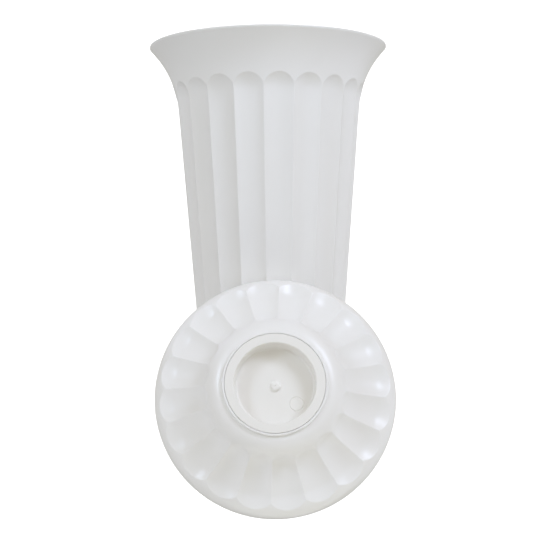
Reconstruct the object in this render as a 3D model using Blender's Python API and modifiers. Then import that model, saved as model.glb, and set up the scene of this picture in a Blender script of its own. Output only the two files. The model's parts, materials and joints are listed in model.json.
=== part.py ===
"""A fluted urn form in two loose mouldings: a tapered vase shell with a flared rim, which stands upright,
and its round fluted foot, which stands on its rim in front of the vase and leans back against it.
A plug closes the vase's bottom, and a cup is the socket in the foot's collar.

Metres, +Z up. The origin is under the middle of the whole group, on the surface that it stands on.
"""

import math

import bpy
from mathutils import Vector

NAME = "fluted_urn_form"

# Both mouldings
WALL = 0.0022
GAP = 0.0003
FLUTES = 20
PITCH = 2 * math.pi / FLUTES
LAND = 0.0012
SCOOP = 0.30
COLUMNS = 4 * FLUTES
ROUND_COLUMNS = 48
MERGE_DISTANCE = 0.00001
SHARP_ANGLE = math.radians(28)
WHITE = (0.83, 0.84, 0.845)

# Vase shell
HEIGHT = 0.3765
RIM_R = 0.1
LIP = 0.0015
FLARE_R = 0.0764
FLARE_Z = 0.3136
BASE_R = 0.0514
VASE_SPRING_Z = 0.3312
VASE_TURN = math.radians(-2.5)
LEDGE_R = 0.0405
LEDGE_LOW = 0.0084
LEDGE_TOP = 0.0106

# Bottom plug: a pan with a central well
PLUG_R = 0.0464
WELL_R = 0.0294
WELL_FLOOR = 0.0012
WELL_DRAFT = 0.0009

# Foot shell, in its own frame: z = 0 is the rim that it would stand on
FOOT_R = 0.093
FOOT_EDGE_R = 0.092
FOOT_HEIGHT = 0.0578
COLLAR_R = 0.0388
COLLAR_DROP = 0.0025
REBATE_R = 0.0372
REBATE_DEPTH = 0.0023
FOOT_BORE_R = 0.0328
FOOT_TURN = math.radians(-2.8)
FOOT_TILT = math.radians(17)
FOOT_X = 0.0033
SHOULDER_END = (0.054, 0.039)
FLARE_END = (0.08, 0.023)
SCOOP_PAST_FLARE = 0.0022
FOOT_WIDEST_Z = 0.005

# Socket cup
SOCKET_R = 0.03015
SOCKET_FLOOR_R = 0.0278
SOCKET_DEPTH = 0.0145
SOCKET_DRAFT = 0.0008
FLANGE_R = 0.0369
NUB_R = 0.0044
NUB_TOP_R = 0.00352
NUB_PIT_R = 0.00132
NUB_HEIGHT = 0.002
NUB_SIDE_HEIGHT = 0.0012
NUB_PIT_EDGE_HEIGHT = 0.0018


def clear_scene():
    for old in list(bpy.data.objects):
        bpy.data.objects.remove(old, do_unlink=True)


def collection_for(name):
    made = bpy.data.collections.new(name)
    bpy.context.scene.collection.children.link(made)
    return made


def plastic(name, colour, roughness):
    made = bpy.data.materials.new(name)
    made.use_nodes = True
    shader = made.node_tree.nodes["Principled BSDF"]
    shader.inputs["Base Color"].default_value = (*colour, 1.0)
    shader.inputs["Roughness"].default_value = roughness
    shader.inputs["Metallic"].default_value = 0.0
    return made


def curve(start, start_pull, end_pull, end, rows):
    """Points (r, z) on a cubic curve, without its start."""
    points = []
    for i in range(1, rows + 1):
        t = i / rows
        weights = ((1 - t) ** 3, 3 * t * (1 - t) ** 2, 3 * t * t * (1 - t), t**3)
        corners = (start, start_pull, end_pull, end)
        points.append(tuple(sum(w * p[k] for w, p in zip(weights, corners)) for k in (0, 1)))
    return points


def arc(centre, radius, first, last, rows):
    """Points (r, z) on a round corner, from one angle to another in degrees."""
    turns = [math.radians(first + (last - first) * i / rows) for i in range(rows + 1)]
    return [(centre[0] + radius * math.cos(a), centre[1] + radius * math.sin(a)) for a in turns]


def inward_normals(wall):
    """For a wall that runs down its outer side, the unit directions (r, z) into the material."""
    normals = []
    for i in range(len(wall)):
        a = wall[max(i - 1, 0)]
        b = wall[min(i + 1, len(wall) - 1)]
        run = Vector((b[0] - a[0], b[1] - a[1])).normalized()
        normals.append((run.y, -run.x))
    return normals


def distances(wall):
    """How far each point lies along the wall from its first."""
    total = [0.0]
    for a, b in zip(wall, wall[1:]):
        total.append(total[-1] + math.dist(a, b))
    return total


def fluted_rows(wall, first, last):
    """One row for each wall point: its place, the way into the material, the flute's half width there, and
    how far it lies past the flutes' straight stretch, which runs from distance first to distance last."""
    rows = []
    for point, normal, s in zip(wall, inward_normals(wall), distances(wall)):
        half = point[0] * PITCH / 2 - LAND / 2
        past = max(first - s, s - last, 0.0)
        rows.append((point, normal, half, past))
    return rows


def offset_rows(rows):
    """The inner side of the same wall, from its last row to its first."""
    return [((p[0] + n[0] * WALL, p[1] + n[1] * WALL), n, half, past) for p, n, half, past in reversed(rows)]


def plain(points):
    """Rows that no flute reaches."""
    return [(point, (0.0, 0.0), 1.0, 0.0) for point in points]


def scoop_depth(across, past, half):
    """How deep a round-bottomed, ball-ended flute lies below the surface."""
    rho = math.hypot(across, past) / half
    bend = (1 + SCOOP**2) / (2 * SCOOP)
    return half * max(math.sqrt(max(bend**2 - rho**2, 0.0)) - bend + SCOOP, 0.0)


def store(mesh, name, kind, field, values):
    """Keeps one value for each point of a section, which the Screw modifier copies round."""
    data = mesh.attributes.new(name, kind, "POINT").data
    for item, value in zip(data, values):
        setattr(item, field, value)


def turned(name, rows, columns, closed, collection, material):
    """A closed body from a section's rows, turned about Z. An open section starts and ends on the axis."""
    mesh = bpy.data.meshes.new(name)
    count = len(rows)
    edges = [(i, i + 1) for i in range(count - 1)]
    if closed:
        edges.append((count - 1, 0))
    mesh.from_pydata([(p[0], 0.0, p[1]) for p, *_ in rows], edges, [])
    store(mesh, "inward", "FLOAT_VECTOR", "vector", [(n[0], 0.0, n[1]) for _, n, _, _ in rows])
    store(mesh, "half_width", "FLOAT", "value", [half for _, _, half, _ in rows])
    store(mesh, "past_end", "FLOAT", "value", [past for _, _, _, past in rows])
    body = bpy.data.objects.new(name, mesh)
    collection.objects.link(body)
    screw = body.modifiers.new("turn", "SCREW")
    screw.axis = "Z"
    screw.angle = 2 * math.pi
    screw.steps = columns
    screw.render_steps = columns
    screw.use_merge_vertices = True
    screw.merge_threshold = MERGE_DISTANCE
    body.data.materials.append(material)
    return body


def cut_flutes(body):
    """Replaces a turned body's mesh by the same one with its flutes pressed in."""
    bpy.context.view_layer.update()
    evaluated = body.evaluated_get(bpy.context.evaluated_depsgraph_get())
    mesh = bpy.data.meshes.new_from_object(evaluated)
    inward = mesh.attributes["inward"].data
    half = mesh.attributes["half_width"].data
    past = mesh.attributes["past_end"].data
    for vertex in mesh.vertices:
        i = vertex.index
        normal = inward[i].vector
        radius = math.hypot(vertex.co.x, vertex.co.y)
        angle = math.atan2(vertex.co.y, vertex.co.x)
        off_centre = (angle + math.pi) % PITCH - PITCH / 2
        depth = scoop_depth(abs(off_centre) * radius, past[i].value, half[i].value)
        sink = Vector((normal.x * math.cos(angle), normal.x * math.sin(angle), normal.z))
        vertex.co += sink * depth
    body.modifiers.clear()
    old = body.data
    body.data = mesh
    bpy.data.meshes.remove(old)


def smooth(body):
    """Shades a body smooth, but for its sharp edges."""
    body.data.shade_smooth()
    body.data.set_sharp_from_angle(angle=SHARP_ANGLE)


def vase_wall():
    """The outer side of the vase, from the rim down: the flare, then the straight taper."""
    flare = curve((RIM_R, HEIGHT - LIP), (0.0792, 0.3527), (0.0781, 0.3351), (FLARE_R, FLARE_Z), 11)
    return [(RIM_R, HEIGHT), (RIM_R, HEIGHT - LIP), *flare, (BASE_R, 0.0)]


def vase_radius(z):
    """The radius of the ridges on the straight taper."""
    return BASE_R + (FLARE_R - BASE_R) * z / FLARE_Z


def distance_at(wall, z):
    """How far down the wall from its first point the height z lies."""
    along = distances(wall)
    for i, (a, b) in enumerate(zip(wall, wall[1:])):
        if b[1] <= z < a[1]:
            return along[i] + (along[i + 1] - along[i]) * (a[1] - z) / (a[1] - b[1])
    return along[-1]


def levelled(row, z, wider=0.0):
    """A row moved to the height z, its radius made wider, with its flutes pressed in level."""
    place, _, half, past = row
    return ((place[0] + wider, z), (-1.0, 0.0), half + wider * PITCH / 2, past)


def vase_section():
    wall = vase_wall()
    outer = fluted_rows(wall, distance_at(wall, VASE_SPRING_Z), math.inf)
    inner = offset_rows(outer[1:])
    bottom = inner[0]
    heels = [levelled(bottom, z, vase_radius(z) - BASE_R) for z in (0.0, LEDGE_LOW, LEDGE_TOP)]
    ledge = plain([(LEDGE_R, LEDGE_LOW), (LEDGE_R, LEDGE_TOP)])
    lip_end = levelled(inner[-1], HEIGHT)
    return [*outer[:-1], levelled(outer[-1], 0.0), *heels[:2], *ledge, heels[2], *inner[1:-1], lip_end]


def make_vase(collection, material, centre_y):
    body = turned("vase_shell", vase_section(), COLUMNS, True, collection, material)
    cut_flutes(body)
    smooth(body)
    body.location = (0.0, centre_y, 0.0)
    body.rotation_euler = (0.0, 0.0, VASE_TURN)
    return body


def make_plug(collection, material, centre_y):
    under = LEDGE_TOP + GAP
    top = under + WALL
    inner_r = WELL_R - WALL
    floor = WELL_FLOOR + WALL
    points = [
        (0.0, floor),
        (inner_r - 2 * WELL_DRAFT, floor),
        (inner_r - WELL_DRAFT, floor + WELL_DRAFT),
        (inner_r, top),
        (PLUG_R - GAP, top),
        (PLUG_R, top - GAP),
        (PLUG_R, under),
        (WELL_R, under),
        (WELL_R - WELL_DRAFT, WELL_FLOOR + WELL_DRAFT),
        (WELL_R - 2 * WELL_DRAFT, WELL_FLOOR),
        (0.0, WELL_FLOOR),
    ]
    body = turned("bottom_plug", plain(points), ROUND_COLUMNS, False, collection, material)
    body.location = (0.0, centre_y, 0.0)
    return body


def foot_wall():
    """The outer side of the foot: the collar's lip, round shoulder, hollow flare and rolled edge."""
    lip = [(COLLAR_R, FOOT_HEIGHT), (COLLAR_R, FOOT_HEIGHT - COLLAR_DROP)]
    shoulder = curve(lip[-1], (0.0468, 0.0548), (0.0512, 0.0475), SHOULDER_END, 4)
    flare = curve(SHOULDER_END, (0.0572, 0.0312), (0.07, 0.0275), FLARE_END, 4)
    roll = curve(FLARE_END, (0.088, 0.0194), (FOOT_R, 0.013), (FOOT_R, FOOT_WIDEST_Z), 5)
    return [*lip, *shoulder, *flare, *roll, (FOOT_EDGE_R, 0.0)]


def foot_section():
    wall = foot_wall()
    along = distances(wall)
    first = along[wall.index(SHOULDER_END)]
    last = along[wall.index(FLARE_END)] + SCOOP_PAST_FLARE
    outer = fluted_rows(wall, first, last)
    inner = offset_rows(outer[2:])
    seat_z = FOOT_HEIGHT - REBATE_DEPTH
    under_z = FOOT_HEIGHT - COLLAR_DROP - WALL
    collar = plain(
        [
            (COLLAR_R, under_z),
            (FOOT_BORE_R, under_z),
            (FOOT_BORE_R, seat_z),
            (REBATE_R, seat_z),
            (REBATE_R, FOOT_HEIGHT),
        ]
    )
    return [*outer, levelled(inner[0], 0.0), *inner[1:], *collar]


def make_foot(collection, material, pivot):
    body = turned("foot_shell", foot_section(), COLUMNS, True, collection, material)
    cut_flutes(body)
    smooth(body)
    body.parent = pivot
    body.rotation_euler = (0.0, 0.0, FOOT_TURN)
    return body


def make_cup(collection, material, pivot):
    floor = FOOT_HEIGHT - SOCKET_DEPTH
    under = floor - WALL
    flange_low = FOOT_HEIGHT - REBATE_DEPTH + GAP
    corner = SOCKET_R - SOCKET_DRAFT - SOCKET_FLOOR_R
    inner_corner = arc((SOCKET_FLOOR_R, floor + corner), corner, -90, 0, 3)
    outer_corner = arc((SOCKET_FLOOR_R, floor + corner), corner + WALL, 0, -90, 3)
    points = [
        (0.0, floor + NUB_SIDE_HEIGHT),
        (NUB_PIT_R, floor + NUB_PIT_EDGE_HEIGHT),
        (NUB_TOP_R, floor + NUB_HEIGHT),
        (NUB_R, floor + NUB_SIDE_HEIGHT),
        (NUB_R, floor),
        *inner_corner,
        (SOCKET_R, FOOT_HEIGHT),
        (FLANGE_R, FOOT_HEIGHT),
        (FLANGE_R, flange_low),
        (SOCKET_R + WALL, flange_low),
        *outer_corner,
        (0.0, under),
    ]
    body = turned("socket_cup", plain(points), ROUND_COLUMNS, False, collection, material)
    body.parent = pivot
    return body


def foot_lift():
    """How high the centre of the tilted foot's base lies when its rolled edge touches the ground."""
    return max(r * math.cos(FOOT_TILT) - z * math.sin(FOOT_TILT) for r, z in foot_wall())


def lean_distance():
    """How far in front of the vase's axis that centre lies when the foot's top edge nearly touches the vase."""
    reach = 0.0
    for degrees in range(60, 121):
        turn = math.radians(degrees)
        x = FOOT_X + FOOT_EDGE_R * math.cos(turn)
        z = foot_lift() + FOOT_EDGE_R * math.sin(turn) * math.cos(FOOT_TILT)
        back = FOOT_EDGE_R * math.sin(turn) * math.sin(FOOT_TILT)
        reach = max(reach, math.sqrt(vase_radius(z) ** 2 - x * x) + back)
    return reach + GAP


def front_reach():
    """How far in front of the vase's axis the foot's collar comes."""
    collar = FOOT_HEIGHT * math.cos(FOOT_TILT) + COLLAR_R * math.sin(FOOT_TILT)
    return lean_distance() + collar


def foot_pivot(collection, vase_y):
    """An empty at the centre of the foot's base, with +Z along the foot's axis, out of its collar."""
    pivot = bpy.data.objects.new("foot_pivot", None)
    pivot.location = (FOOT_X, vase_y - lean_distance(), foot_lift())
    pivot.rotation_euler = (math.pi / 2 - FOOT_TILT, 0.0, 0.0)
    collection.objects.link(pivot)
    return pivot


def main():
    clear_scene()
    parts = collection_for(NAME)
    vase_y = (front_reach() - RIM_R) / 2
    pivot = foot_pivot(parts, vase_y)
    make_vase(parts, plastic("vase_plastic", WHITE, 0.42), vase_y)
    make_plug(parts, plastic("plug_plastic", WHITE, 0.45), vase_y)
    make_foot(parts, plastic("foot_plastic", WHITE, 0.32), pivot)
    make_cup(parts, plastic("cup_plastic", WHITE, 0.4), pivot)


main()
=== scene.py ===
"""Looks for the fluted urn form: fine meshes for its four mouldings, their plastic, and a plain white studio.

Each moulding is turned from the same outline as its CAD node, about an axis found from the frame, with smooth
round-bottomed flutes in place of the CAD's flat strips. Lengths are in metres.
"""

import json
import math
from collections import namedtuple

import bmesh
import bpy
import numpy as np
from mathutils import Matrix, Vector


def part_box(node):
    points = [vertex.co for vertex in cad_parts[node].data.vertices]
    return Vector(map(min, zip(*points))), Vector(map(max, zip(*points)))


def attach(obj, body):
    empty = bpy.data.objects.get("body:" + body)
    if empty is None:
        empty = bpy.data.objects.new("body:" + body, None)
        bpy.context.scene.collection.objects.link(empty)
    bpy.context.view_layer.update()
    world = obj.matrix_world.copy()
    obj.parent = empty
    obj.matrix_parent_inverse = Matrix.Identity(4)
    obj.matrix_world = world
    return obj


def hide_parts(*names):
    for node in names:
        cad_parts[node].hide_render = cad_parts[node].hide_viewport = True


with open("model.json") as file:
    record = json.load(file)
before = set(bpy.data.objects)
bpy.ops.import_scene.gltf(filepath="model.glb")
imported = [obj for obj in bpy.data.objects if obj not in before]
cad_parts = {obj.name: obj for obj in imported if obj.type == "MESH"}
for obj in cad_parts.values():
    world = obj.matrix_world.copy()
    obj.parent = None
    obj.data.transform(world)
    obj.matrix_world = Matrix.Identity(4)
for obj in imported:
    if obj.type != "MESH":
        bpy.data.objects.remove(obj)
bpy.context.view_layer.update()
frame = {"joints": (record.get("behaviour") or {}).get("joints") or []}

# All pieces
WALL = 0.0022
SEAT_GAP = 0.0003
ROUND_PULL = 0.45
ROUND_MARGIN = 1.3
MERGE_DISTANCE = 0.000002

# Flutes. The eases soften the ridges between them, their rims, and the shallow heads on the foot.
FLUTES = 20
PITCH = 2 * math.pi / FLUTES
RIDGE_EASE = 0.0005
CREST_EASE = 0.00018
HEAD_EASE = 0.0006
CREASE_MARGIN = 0.0022
CREASE_ROUNDS = 12
STEEPEST = 0.95

# Vase
LIP = 0.0015
LIP_OUTER_FILLET = 0.0007
LIP_INNER_FILLET = 0.0005
LIP_INNER_MARGIN = 0.0007
FLARE_R = 0.0764
FLARE_Z = 0.3136
BASE_R = 0.0514
VASE_SPRING_Z = 0.3308
VASE_OVERLAP = 1.02
VASE_SCOOP = 0.34
VASE_TURN = math.radians(-2.5)
LEDGE_R = 0.0405
LEDGE_LOW = 0.0084
LEDGE_TOP = 0.0106
LEDGE_EASE = 0.0004
LEDGE_MARGIN = 0.001
BASE_EASE = 0.0002

# Plug
PLUG_R = 0.0464
WELL_R = 0.0294
WELL_FLOOR = 0.0012
WELL_DRAFT = 0.0009
PLUG_COLUMNS = 144

# Foot, in its own frame: z = 0 is the rim that it would stand on
FOOT_R = 0.093
FOOT_EDGE_R = 0.092
FOOT_HEIGHT = 0.0578
COLLAR_R = 0.0388
COLLAR_DROP = 0.0025
REBATE_R = 0.0372
REBATE_DEPTH = 0.0023
FOOT_BORE_R = 0.0328
FOOT_TURN = math.radians(-2.8)
SHOULDER_END = (0.054, 0.039)
FLARE_END = (0.08, 0.023)
FOOT_WIDEST_Z = 0.005
FOOT_OVERLAP = 1.15
FOOT_SCOOP = 0.34
SCOOP_TIP_R = 0.0881
SCOOP_TIP_LENGTH = 0.0125
SCOOP_HEAD_LENGTH = 0.024
SCOOP_HEAD_Z = 0.047
COLLAR_JOIN = 0.002
INNER_END = 0.0025

# Cup
SOCKET_R = 0.03015
SOCKET_DEPTH = 0.0145
SOCKET_DRAFT = 0.0008
FLANGE_R = 0.037
NUB_R = 0.0042
NUB_TOP_R = 0.00294
NUB_HEIGHT = 0.002
NUB_PIT_R = 0.0005
NUB_PIT_RIM_R = 0.0008
NUB_PIT = 0.0004
EJECTOR_FLAT_R = 0.0048
EJECTOR_TOP_R = 0.0052
EJECTOR_ROOT_R = 0.0057
EJECTOR_STEP = 0.00008
EJECTOR_RIM = 0.0005
EJECTOR_OUT = 0.0203
EJECTOR_TURN = math.radians(-39)
CUP_COLUMNS = 160

# Plastic
WHITE = (0.868, 0.855, 0.834)
BRIGHT_WHITE = (0.911, 0.898, 0.877)
WARM_WHITE = (0.904, 0.884, 0.843)
MOTTLE = 0.985
GLOSS_CHANGE = 0.018
PLASTIC_IOR = 1.49

# Studio
LIGHT_MIDDLE = Vector((0, -0.02, 0.16))
LIGHT_DISTANCE = 1.5
STUDIO_R = 3.0
STUDIO_BEND = 0.6
STUDIO_BEND_STEPS = 16
STUDIO_COLUMNS = 48
STUDIO_GREY = 0.5
STUDIO_GLOW = 1.3

# Camera, from the vase's axis and the surface that it stands on
CAMERA_BACK = 1.034
CAMERA_RIGHT = 0.004
CAMERA_HEIGHT = 0.1834
CAMERA_LENS = 79.6
CAMERA_SENSOR = 36
CAMERA_ROLL = math.radians(0.58)


# ---------------------------------------------------------------- outlines


def curve(start, start_pull, end_pull, end, rows):
    """Points (r, z) on a cubic curve, without its start."""
    t = np.linspace(0, 1, rows + 1)[1:, None]
    corners = [np.array(p) for p in (start, start_pull, end_pull, end)]
    weights = ((1 - t) ** 3, 3 * t * (1 - t) ** 2, 3 * t * t * (1 - t), t**3)
    return [tuple(p) for p in sum(w * c for w, c in zip(weights, corners))]


def rounded(before, corner, after, radius, rows=5):
    """A corner's points (r, z), rounded, with one more point on each side to keep the flats flat."""
    corner = Vector(corner)
    back = (Vector(before) - corner).normalized() * radius
    on = (Vector(after) - corner).normalized() * radius
    bend = curve(corner + back, corner + back * ROUND_PULL, corner + on * ROUND_PULL, corner + on, rows)
    first, last = corner + back * ROUND_MARGIN, corner + on * ROUND_MARGIN
    return [tuple(first), tuple(corner + back), *bend, tuple(last)]


def eased(corners):
    """Points (r, z) along corners (r, z, radius), each rounded to its radius, or sharp where that is 0."""
    made = []
    for i, (r, z, radius) in enumerate(corners):
        if radius:
            before, after = corners[i - 1], corners[(i + 1) % len(corners)]
            made += rounded(before[:2], (r, z), after[:2], radius)
        else:
            made.append((r, z))
    return made


class Wall:
    """The outer side of a shell as a fine outline, read by the distance down it."""

    def __init__(self, points):
        self.points = np.array(points)
        steps = np.hypot(*np.diff(self.points, axis=0).T)
        self.along = np.concatenate([[0], np.cumsum(steps)])
        self.length = self.along[-1]
        run = np.gradient(self.points, self.along, axis=0)
        run /= np.hypot(*run.T)[:, None]
        self.inward = np.stack([run[:, 1], -run[:, 0]], -1)

    def at(self, s):
        """The point (r, z) at the distance s."""
        return [np.interp(s, self.along, self.points[:, k]) for k in (0, 1)]

    def into(self, s):
        """The unit direction (r, z) into the wall there."""
        return [np.interp(s, self.along, self.inward[:, k]) for k in (0, 1)]

    def distance_at(self, z):
        return float(np.interp(-z, -self.points[:, 1], self.along))

    def distance_out(self, r):
        return float(np.interp(r, self.points[:, 0], self.along))


def vase_wall():
    """The vase's outer side, from under the lip down: the flare, then the straight taper."""
    start, end = (rim_r, height - LIP), (FLARE_R, FLARE_Z)
    flare = curve(start, (0.0792, 0.3527), (0.0781, 0.3351), end, 160)
    taper = np.linspace(end, (BASE_R, 0.0), 41)[1:]
    return Wall([start, *flare, *taper])


def foot_wall():
    """The foot's outer side, from under the lip down: shoulder, hollow flare, rolled edge."""
    start = (COLLAR_R, FOOT_HEIGHT - COLLAR_DROP)
    shoulder = curve(start, (0.0468, 0.0548), (0.0512, 0.0475), SHOULDER_END, 60)
    flare = curve(SHOULDER_END, (0.0572, 0.0312), (0.07, 0.0275), FLARE_END, 80)
    roll = curve(FLARE_END, (0.088, 0.0194), (FOOT_R, 0.013), (FOOT_R, FOOT_WIDEST_Z), 60)
    edge = curve((FOOT_R, FOOT_WIDEST_Z), (FOOT_R, 0.003), (0.0925, 0.001), (FOOT_EDGE_R, 0.0), 12)
    return Wall([start, *shoulder, *flare, *roll, *edge])


# ---------------------------------------------------------------- fluted shells

# Round-bottomed, ball-ended cuts. Each is overlap times its share of the ring wide, so neighbours meet in
# ridges, and scoop half widths deep. The straight stretch runs from distance first to last. The ends are near
# and far half widths long, and fade into the wall over near_ease and far_ease.
Flutes = namedtuple("Flutes", "overlap scoop first last near far near_ease far_ease")


def flute_columns():
    """Where the columns of one flute lie: 0 its middle, 1 and -1 the ridges on each side of it."""
    side = [0.1, 0.21, 0.32, 0.43, 0.54, 0.645, 0.74, 0.82, 0.885, 0.93, 0.96, 0.982]
    return np.array([-1.0, *[-q for q in reversed(side)], 0.0, *side])


def spread(start, end, rows, towards=None):
    """Rows from start up to but not including end, which may differ by column, crowded towards either."""
    x = np.arange(rows)[:, None] / rows
    if towards == "end":
        x = np.sin(x * math.pi / 2)
    elif towards == "start":
        x = 1 - np.cos(x * math.pi / 2)
    return start + (end - start) * x


def half_width(radius, overlap):
    """Half of a flute's width where the wall has this radius."""
    return radius * PITCH / 2 * overlap


def crease(wall, flutes, sign):
    """How far down the wall a flute's end is in each column, its upper end (sign -1) or its lower one (1)."""
    q = np.abs(flute_columns()) / flutes.overlap
    start, stretch = (flutes.first, flutes.near) if sign < 0 else (flutes.last, flutes.far)
    s = np.full(len(q), float(start))
    for _ in range(CREASE_ROUNDS):
        s = start + sign * stretch * half_width(wall.at(s)[0], flutes.overlap) * np.sqrt(1 - q**2)
    return s


def softer(a, b, width):
    """The larger of two depths, eased where they meet."""
    return (a + b + np.sqrt((a - b) ** 2 + width**2)) / 2


def press_flutes(wall, s, flutes):
    """Rows of points (r, z, angle) on the fluted outer surface, and the way into the wall at each."""
    q = np.broadcast_to(flute_columns(), s.shape)
    r, z = wall.at(s)
    into_r, into_z = wall.into(s)
    half = half_width(r, flutes.overlap)
    past = np.maximum((flutes.first - s) / flutes.near, (s - flutes.last) / flutes.far)
    past = np.maximum(past, 0) / half
    bend = (1 + flutes.scoop**2) / (2 * flutes.scoop)

    def level(across):
        rho2 = np.minimum((across / flutes.overlap) ** 2 + past**2, bend**2 * STEEPEST)
        return half * (np.sqrt(bend**2 - rho2) - bend + flutes.scoop)

    ease = np.interp(s, [flutes.first, flutes.last], [flutes.near_ease, flutes.far_ease])
    depth = softer(softer(level(np.abs(q)), level(2 - np.abs(q)), RIDGE_EASE), 0.0, ease)
    outer = np.stack([r + into_r * depth, z + into_z * depth, q * PITCH / 2 + 0 * r], -1)
    return outer, np.stack([into_r, into_z, np.zeros_like(into_r)], -1)


def plain_rows(points, like):
    """Rows of points (r, z, angle) that no flute reaches, at the same angles as a row of the fluted wall."""
    angles = like[:, 2]
    rows = [(np.full_like(angles, r), np.full_like(angles, z), angles) for r, z in points]
    return np.stack([np.stack(row, -1) for row in rows])


def swept(name, rows, material):
    """A closed body from the rows (r, z, angle) of one flute's sector, repeated all the way round."""
    count, width = rows.shape[:2]
    centres = (np.arange(FLUTES) + 0.5) * PITCH
    angle = (rows[:, None, :, 2] + centres[None, :, None]).reshape(count, -1)
    r = np.broadcast_to(rows[:, None, :, 0], (count, FLUTES, width)).reshape(count, -1)
    z = np.broadcast_to(rows[:, None, :, 1], (count, FLUTES, width)).reshape(count, -1)
    points = np.stack([r * np.cos(angle), r * np.sin(angle), z], -1)
    return grid_object(name, points, material)


def grid_object(name, points, material):
    """A closed body from a section's rows of points; the last row joins the first."""
    rows, columns = points.shape[:2]
    i, j = np.meshgrid(np.arange(rows), np.arange(columns), indexing="ij")
    on, down = (j + 1) % columns, (i + 1) % rows
    corners = [i * columns + j, down * columns + j, down * columns + on, i * columns + on]
    faces = np.stack(corners, -1).reshape(-1, 4)
    mesh = bpy.data.meshes.new(name)
    mesh.from_pydata(points.reshape(-1, 3).tolist(), [], faces.tolist())
    return shown(name, mesh, material)


def turned(name, outlines, columns, material):
    """A mesh turned from outlines that start on their axes, each given with its axis's place (x, y)."""
    shape = bmesh.new()
    for outline, (x, y) in outlines:
        points = [shape.verts.new((x + r, y, z)) for r, z in outline]
        edges = [shape.edges.new(pair) for pair in zip(points, points[1:])]
        bmesh.ops.spin(
            shape,
            geom=[*points, *edges],
            cent=(x, y, 0),
            axis=(0, 0, 1),
            angle=2 * math.pi,
            steps=columns,
            use_merge=True,
        )
    bmesh.ops.remove_doubles(shape, verts=shape.verts, dist=MERGE_DISTANCE)
    bmesh.ops.recalc_face_normals(shape, faces=shape.faces)
    mesh = bpy.data.meshes.new(name)
    shape.to_mesh(mesh)
    shape.free()
    return shown(name, mesh, material)


def shown(name, mesh, material):
    """The mesh as a smooth-shaded object in the scene."""
    mesh.validate()
    mesh.update()
    mesh.shade_smooth()
    made = bpy.data.objects.new(name, mesh)
    made.data.materials.append(material)
    bpy.context.scene.collection.objects.link(made)
    return made


def place(made, matrix, body, node):
    """Puts a piece where its CAD node is, on the same body and in the node's stead."""
    made.data.transform(matrix)
    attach(made, body)
    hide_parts(node)


# ---------------------------------------------------------------- the four pieces


def make_vase(material):
    """The flared rim, the fluted wall and the ledge inside its bottom."""
    wall = vase_wall()
    spring = wall.distance_at(VASE_SPRING_Z)
    flutes = Flutes(VASE_OVERLAP, VASE_SCOOP, spring, math.inf, 1.0, 1.0, CREST_EASE, CREST_EASE)
    arch = crease(wall, flutes, -1)
    above = arch.min() - CREASE_MARGIN
    below = spring + 2 * CREASE_MARGIN
    s = np.concatenate(
        [
            spread(0, above, 34) + 0 * arch,
            spread(above, arch, 9, "end"),
            spread(arch, below, 14, "start"),
            spread(below, wall.length, 24) + 0 * arch,
            np.full((1, len(arch)), wall.length),
        ]
    )
    outer, into = press_flutes(wall, s, flutes)
    inner = (outer + into * WALL)[::-1]
    outer[-1, :, 1] = 0
    inner_z = inner[:, 0, 1]
    keep = inner[(inner_z > LEDGE_TOP + LEDGE_MARGIN) & (inner_z < height - LIP_INNER_MARGIN)]
    lip = eased(
        [
            (rim_r, height - LIP, 0),
            (rim_r, height, LIP_OUTER_FILLET),
            (inner[-1, 0, 0], height, LIP_INNER_FILLET),
            (*keep[-1, 0, :2], 0),
        ]
    )[1:-1]
    rows = np.concatenate([outer, fluted_heel(inner[0]), keep, plain_rows(lip[::-1], outer[0])])
    return swept("vase_shell_fine", rows, material)


def fluted_heel(low):
    """The inner wall's rows from the bottom edge to the ledge, and the ledge that the plug lies on."""
    per_metre = (FLARE_R - BASE_R) / FLARE_Z

    def at(z, across=0.0):
        """A row at the height z, the share across of the way from the wall to the ledge's inner edge."""
        row = low.copy()
        row[:, 0] += (z - low[:, 1]) * per_metre
        row[:, 0] += (LEDGE_R - row[:, 0]) * across
        row[:, 1] = z
        return row

    return np.stack(
        [
            at(0.0),
            at(BASE_EASE),
            at(LEDGE_LOW - LEDGE_EASE),
            at(LEDGE_LOW, 0.03),
            at(LEDGE_LOW, 0.95),
            at(LEDGE_LOW + LEDGE_EASE, 1.0),
            at(LEDGE_TOP - LEDGE_EASE, 1.0),
            at(LEDGE_TOP, 0.95),
            at(LEDGE_TOP, 0.03),
            at(LEDGE_TOP + LEDGE_EASE),
        ]
    )


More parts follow.
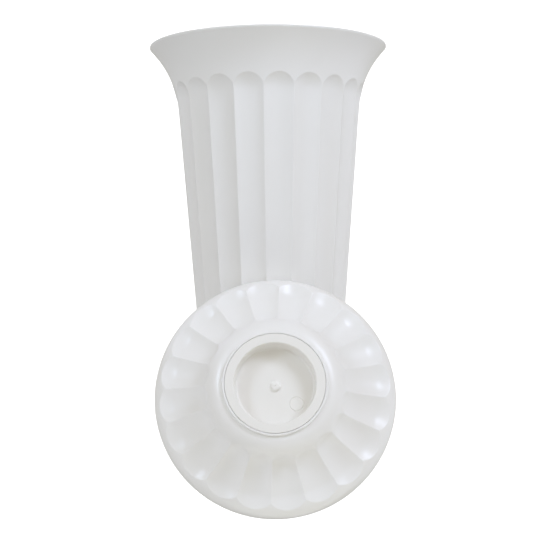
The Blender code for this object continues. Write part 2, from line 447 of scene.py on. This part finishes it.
def make_foot(material):
    """The fluted flare, and the collar with the seat that the cup's flange lies in."""
    wall = foot_wall()
    head, tip = wall.distance_at(SCOOP_HEAD_Z), wall.distance_out(SCOOP_TIP_R)
    first, last = head + SCOOP_HEAD_LENGTH, tip - SCOOP_TIP_LENGTH
    near = SCOOP_HEAD_LENGTH / half_width(wall.at(head)[0], FOOT_OVERLAP)
    far = SCOOP_TIP_LENGTH / half_width(wall.at(tip)[0], FOOT_OVERLAP)
    flutes = Flutes(FOOT_OVERLAP, FOOT_SCOOP, first, last, near, far, HEAD_EASE, CREST_EASE)
    top, end = crease(wall, flutes, -1), crease(wall, flutes, 1)
    above, below = top.min() - CREASE_MARGIN, end.max() + CREASE_MARGIN / 2
    upper, lower = top.max() + 2 * CREASE_MARGIN, end.min() - 2 * CREASE_MARGIN
    s = np.concatenate(
        [
            spread(0, above, 12) + 0 * top,
            spread(above, top, 6, "end"),
            spread(top, upper, 10, "start"),
            spread(upper, lower, 14) + 0 * top,
            spread(lower, end, 14, "end"),
            spread(end, below, 6, "start"),
            spread(below, wall.length, 8) + 0 * top,
            np.full((1, len(top)), wall.length),
        ]
    )
    outer, into = press_flutes(wall, s, flutes)
    inner = (outer + into * WALL)[::-1]
    inner[0, :, 1] = 0
    seat, under = FOOT_HEIGHT - REBATE_DEPTH, FOOT_HEIGHT - COLLAR_DROP - WALL
    collar = eased(
        [
            (COLLAR_R + COLLAR_JOIN, under, 0),
            (FOOT_BORE_R, under, 0.0004),
            (FOOT_BORE_R, seat, 0.0003),
            (REBATE_R, seat, 0),
            (REBATE_R, FOOT_HEIGHT, 0.0006),
            (COLLAR_R, FOOT_HEIGHT, 0.0006),
            (COLLAR_R, FOOT_HEIGHT - COLLAR_DROP, 0),
        ]
    )[1:-1]
    keep = inner[inner[:, 0, 0] > COLLAR_R + INNER_END]
    rows = np.concatenate([outer, keep, plain_rows(collar, outer[0])])
    return swept("foot_shell_fine", rows, material)


def make_plug(material):
    """The vase's loose floor, whose well makes the spigot under it."""
    under = LEDGE_TOP + SEAT_GAP
    top, inner_r, floor = under + WALL, WELL_R - WALL, WELL_FLOOR + WALL
    outline = eased(
        [
            (0.0, floor, 0),
            (inner_r - 2 * WELL_DRAFT, floor, 0.0012),
            (inner_r, top, 0.0009),
            (PLUG_R, top, 0.0006),
            (PLUG_R, under, 0.0004),
            (WELL_R, under, 0.0003),
            (WELL_R - 2 * WELL_DRAFT, WELL_FLOOR, 0.0012),
            (0.0, WELL_FLOOR, 0),
        ]
    )
    return turned("bottom_plug_fine", [(outline, (0, 0))], PLUG_COLUMNS, material)


def make_cup(material):
    """The socket in the collar: flange, wall, and a floor with a gate nub and an ejector mark."""
    floor = FOOT_HEIGHT - SOCKET_DEPTH
    under = floor - WALL
    flange_low = FOOT_HEIGHT - REBATE_DEPTH + SEAT_GAP
    draft_r = SOCKET_R - SOCKET_DRAFT
    outline = eased(
        [
            (0.0, floor + NUB_HEIGHT - NUB_PIT, 0),
            (NUB_PIT_R, floor + NUB_HEIGHT - NUB_PIT, 0.00012),
            (NUB_PIT_RIM_R, floor + NUB_HEIGHT, 0.0002),
            (NUB_TOP_R, floor + NUB_HEIGHT, 0.001),
            (NUB_R, floor, 0.0006),
            (draft_r, floor, 0.0016),
            (SOCKET_R, FOOT_HEIGHT, 0.0007),
            (FLANGE_R, FOOT_HEIGHT, 0.0005),
            (FLANGE_R, flange_low, 0.0003),
            (SOCKET_R + WALL, flange_low, 0.0003),
            (draft_r + WALL, under, 0.0034),
            (0.0, under, 0),
        ]
    )
    mark = eased(
        [
            (0.0, floor + EJECTOR_STEP, 0),
            (EJECTOR_FLAT_R, floor + EJECTOR_STEP, 0.00015),
            (EJECTOR_TOP_R, floor + EJECTOR_RIM, 0.00012),
            (EJECTOR_ROOT_R, floor - EJECTOR_RIM, 0),
            (0.0, floor - EJECTOR_RIM, 0),
        ]
    )
    at = (EJECTOR_OUT * math.cos(EJECTOR_TURN), EJECTOR_OUT * math.sin(EJECTOR_TURN))
    return turned("socket_cup_fine", [(outline, (0, 0)), (mark, at)], CUP_COLUMNS, material)


# ---------------------------------------------------------------- plastic


def plastic(name, colour, roughness):
    """Moulded white plastic: faint mottling, uneven gloss, slight sinks and a fine skin."""
    made = bpy.data.materials.new(name)
    made.use_nodes = True
    tree = made.node_tree
    shader = tree.nodes["Principled BSDF"]
    shader.inputs["IOR"].default_value = PLASTIC_IOR
    place_of = tree.nodes.new("ShaderNodeTexCoord")

    def noise(scale, detail, rough=0.5):
        node = tree.nodes.new("ShaderNodeTexNoise")
        node.inputs["Scale"].default_value = scale
        node.inputs["Detail"].default_value = detail
        node.inputs["Roughness"].default_value = rough
        tree.links.new(place_of.outputs["Object"], node.inputs["Vector"])
        return node.outputs["Fac"]

    def mapped(source, low, high, start=0.35, end=0.65):
        node = tree.nodes.new("ShaderNodeMapRange")
        node.inputs["From Min"].default_value = start
        node.inputs["From Max"].default_value = end
        node.inputs["To Min"].default_value = low
        node.inputs["To Max"].default_value = high
        tree.links.new(source, node.inputs["Value"])
        return node.outputs["Result"]

    def bumped(relief, strength, distance, under=None):
        node = tree.nodes.new("ShaderNodeBump")
        node.inputs["Strength"].default_value = strength
        node.inputs["Distance"].default_value = distance
        tree.links.new(relief, node.inputs["Height"])
        if under:
            tree.links.new(under, node.inputs["Normal"])
        return node.outputs["Normal"]

    tint = tree.nodes.new("ShaderNodeMix")
    tint.data_type = "RGBA"
    tint.inputs["A"].default_value = (*[c * MOTTLE for c in colour], 1)
    tint.inputs["B"].default_value = (*colour, 1)
    tree.links.new(mapped(noise(14, 4), 0.0, 1.0), tint.inputs["Factor"])
    tree.links.new(tint.outputs["Result"], shader.inputs["Base Color"])
    gloss = mapped(noise(45, 5, 0.6), roughness - GLOSS_CHANGE, roughness + GLOSS_CHANGE)
    tree.links.new(gloss, shader.inputs["Roughness"])
    sinks = bumped(noise(26, 1), 0.12, 0.0005)
    skin = bumped(noise(1500, 3), 0.2, 0.00003, sinks)
    tree.links.new(skin, shader.inputs["Normal"])
    return made


# ---------------------------------------------------------------- studio


def area_light(name, azimuth, elevation, size, power, colour):
    """A soft box that looks at the object's middle. Azimuth 0 is the camera's side, + is to its right."""
    data = bpy.data.lights.new(name, "AREA")
    data.size = size
    data.energy = power
    data.color = colour
    made = bpy.data.objects.new(name, data)
    bpy.context.scene.collection.objects.link(made)
    turn, rise = math.radians(azimuth), math.radians(elevation)
    away = Vector((math.sin(turn) * math.cos(rise), -math.cos(turn) * math.cos(rise), math.sin(rise)))
    made.location = LIGHT_MIDDLE + away * LIGHT_DISTANCE
    made.rotation_euler = away.to_track_quat("Z", "Y").to_euler()


def pale_sky(nadir, horizon, zenith):
    """A world that changes softly from below to above."""
    world = bpy.data.worlds.new("pale_sky")
    bpy.context.scene.world = world
    world.use_nodes = True
    tree = world.node_tree
    place_of = tree.nodes.new("ShaderNodeTexCoord")
    split = tree.nodes.new("ShaderNodeSeparateXYZ")
    tree.links.new(place_of.outputs["Generated"], split.inputs["Vector"])
    upward = tree.nodes.new("ShaderNodeMapRange")
    upward.inputs["From Min"].default_value = -1
    tree.links.new(split.outputs["Z"], upward.inputs["Value"])
    ramp = tree.nodes.new("ShaderNodeValToRGB")
    ramp.color_ramp.interpolation = "EASE"
    stops = ramp.color_ramp.elements
    stops.new(0.5)
    for stop, colour in zip(stops, (nadir, horizon, zenith)):
        stop.color = (*colour, 1)
    tree.links.new(upward.outputs["Result"], ramp.inputs["Fac"])
    tree.links.new(ramp.outputs["Color"], tree.nodes["Background"].inputs["Color"])


def studio_surface():
    """A matt surface that glows white."""
    made = bpy.data.materials.new("studio_white")
    made.use_nodes = True
    shader = made.node_tree.nodes["Principled BSDF"]
    shader.inputs["Base Color"].default_value = (STUDIO_GREY, STUDIO_GREY, STUDIO_GREY, 1)
    shader.inputs["Roughness"].default_value = 1.0
    shader.inputs["Specular IOR Level"].default_value = 0.0
    shader.inputs["Emission Color"].default_value = (1, 1, 1, 1)
    shader.inputs["Emission Strength"].default_value = STUDIO_GLOW
    return made


def make_studio(centre_y):
    """A white dish all round, which only the camera sees, with a pale sky and soft lights."""
    outline = [(0.0, 0.0)]
    for i in range(STUDIO_BEND_STEPS + 1):
        turn = math.pi / 2 * i / STUDIO_BEND_STEPS
        r = STUDIO_R - STUDIO_BEND + STUDIO_BEND * math.sin(turn)
        outline.append((r, STUDIO_BEND - STUDIO_BEND * math.cos(turn)))
    outline.append((STUDIO_R, STUDIO_R))
    floor = turned("studio_floor", [(outline, (0, centre_y))], STUDIO_COLUMNS, studio_surface())
    floor.visible_diffuse = False
    floor.visible_glossy = False
    floor.visible_shadow = False

    pale_sky(nadir=(0, 0, 0), horizon=(0.61, 0.597, 0.545), zenith=(0.445, 0.4, 0.32))
    area_light("key", 45, 38, 0.55, 9.7, (0.71, 0.79, 1.0))
    area_light("window", -45, 26, 0.35, 4.4, (0.67, 0.8, 1.0))
    area_light("back_left", -130, 32, 0.9, 1.7, (0.58, 0.65, 1.0))
    area_light("low_left", -60, -25, 1.4, 3.0, (0.79, 0.81, 1.0))
    area_light("low_right", 110, -22, 1.2, 1.8, (0.65, 0.7, 1.0))
    area_light("floor_bounce", 40, -75, 2.0, 14.3, (0.98, 1.0, 0.98))


def make_camera(axis):
    """The camera, in front of the vase's axis and level, but for a slight roll."""
    data = bpy.data.cameras.new("camera")
    data.lens = CAMERA_LENS
    data.sensor_width = CAMERA_SENSOR
    made = bpy.data.objects.new("camera", data)
    bpy.context.scene.collection.objects.link(made)
    made.location = (axis.x + CAMERA_RIGHT, axis.y - CAMERA_BACK, CAMERA_HEIGHT)
    level = Matrix.Rotation(math.pi / 2, 4, "X")
    made.rotation_euler = (level @ Matrix.Rotation(-CAMERA_ROLL, 4, "Z")).to_euler()
    bpy.context.scene.camera = made


# ---------------------------------------------------------------- all together


vase_low, vase_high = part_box("vase_shell")
axis = (vase_low + vase_high) / 2
rim_r, height = (vase_high.x - vase_low.x) / 2, vase_high.z
draw = Vector(next(j["axis"] for j in frame["joints"] if j["name"] == "foot_draw"))
tilt = math.asin(draw.z)


def vase_place():
    """Where the vase's own frame lies: on its axis, turned as its flutes are."""
    return Matrix.Translation((axis.x, axis.y, 0)) @ Matrix.Rotation(VASE_TURN, 4, "Z")


def foot_place():
    """Where the foot's own frame lies: it faces along foot_draw, and its CAD box says where it rests."""
    low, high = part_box("foot_shell")
    r, z = foot_wall().points.T
    lift = (r * math.cos(tilt) - z * math.sin(tilt)).max()
    front = FOOT_HEIGHT * math.cos(tilt) + COLLAR_R * math.sin(tilt)
    middle = ((low.x + high.x) / 2, low.y + front, lift)
    return Matrix.Translation(middle) @ Matrix.Rotation(math.pi / 2 - tilt, 4, "X")


vase = make_vase(plastic("vase_plastic_fine", WHITE, 0.42))
plug = make_plug(plastic("plug_plastic_fine", WHITE, 0.45))
foot = make_foot(plastic("foot_plastic_fine", BRIGHT_WHITE, 0.295))
cup = make_cup(plastic("cup_plastic_fine", WARM_WHITE, 0.36))
foot_turn = Matrix.Rotation(FOOT_TURN, 4, "Z")
place(vase, vase_place(), "vase", "vase_shell")
place(plug, vase_place(), "plug", "bottom_plug")
place(foot, foot_place() @ foot_turn, "foot", "foot_shell")
place(cup, foot_place(), "socket", "socket_cup")
make_studio(axis.y)
make_camera(axis)
bpy.context.scene.view_settings.view_transform = "Standard"
